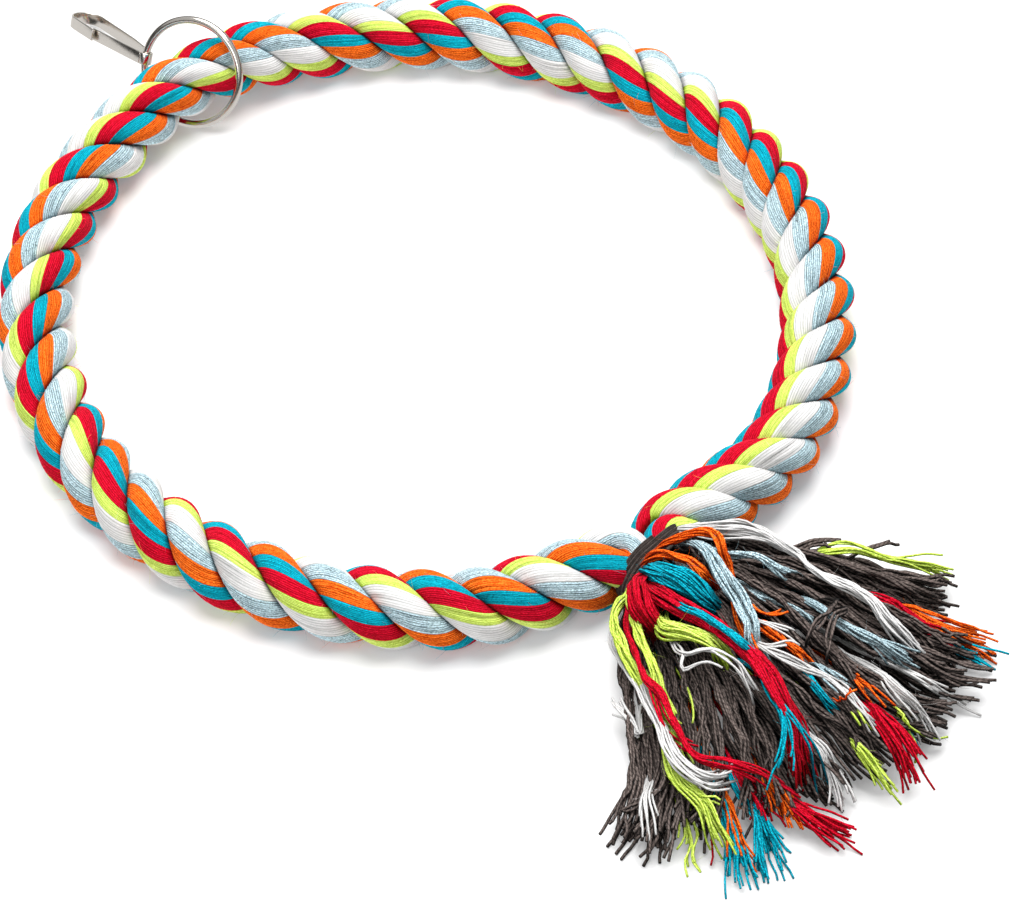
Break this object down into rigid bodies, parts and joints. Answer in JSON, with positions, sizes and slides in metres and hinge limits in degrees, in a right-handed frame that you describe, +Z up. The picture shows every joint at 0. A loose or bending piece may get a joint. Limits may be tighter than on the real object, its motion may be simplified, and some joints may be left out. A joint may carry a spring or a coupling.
{
  "type": "rope ring perch",
  "caption": "Loop of laid cotton rope for a bird to perch and swing on, its ends bound into a fringed tassel, with a steel ring and spring clip to hang it by.",
  "frame": {"origin": "centre of the bounding box at floor level, with the loop lying flat as pictured", "axes": "+Z up off the floor, +Y from the tassel towards the clip, in the plane of the loop"},
  "size_m": [0.35, 0.5454, 0.043],
  "materials": {
    "cotton_red": "matt cotton yarn",
    "cotton_teal": "matt cotton yarn",
    "cotton_orange": "matt cotton yarn",
    "cotton_grey": "matt cotton yarn",
    "cotton_white": "matt cotton yarn",
    "cotton_lime": "matt cotton yarn",
    "cotton_charcoal": "matt cotton yarn",
    "nickel": "bright nickel plate on steel"
  },
  "bodies": {
    "rope": {"rope_strand_1": "cotton_red", "rope_strand_2": "cotton_teal", "rope_strand_3": "cotton_lime", "binding_cord": "cotton_charcoal", "tuft_core_1": "cotton_charcoal", "tuft_core_2": "cotton_charcoal", "tuft_core_3": "cotton_charcoal", "tuft_core_4": "cotton_charcoal", "tuft_core_5": "cotton_charcoal", "tuft_core_6": "cotton_charcoal", "tuft_core_7": "cotton_charcoal", "tuft_colour_1": "cotton_lime", "tuft_colour_2": "cotton_white", "tuft_colour_3": "cotton_red", "tuft_colour_4": "cotton_teal", "tuft_colour_5": "cotton_orange", "tuft_colour_6": "cotton_grey", "tuft_colour_7": "cotton_lime"},
    "ring": {"steel_ring": "nickel"},
    "clip": {"clip_body": "nickel"},
    "gate": {"clip_gate": "nickel"}
  },
  "joints": [
    {"name": "ring_turn", "type": "hinge", "parent": "rope", "child": "ring", "pos_m": [-0.01488, 0.19661, 0.01977], "axis": [0.9959, 0.0906, 0], "continuous": true},
    {"name": "clip_swing", "type": "hinge", "parent": "ring", "child": "clip", "pos_m": [-0.02709, 0.21874, 0.02081], "axis": [-0.4217, -0.2908, -0.8588], "range_deg": [-55, 55]},
    {"name": "gate_flex", "type": "hinge", "parent": "clip", "child": "gate", "pos_m": [-0.02952, 0.21915, 0.02186], "axis": [-0.4217, -0.2908, -0.8588], "range_deg": [0, 10], "stiffness_Nm_per_rad": 0.2}
  ]
}
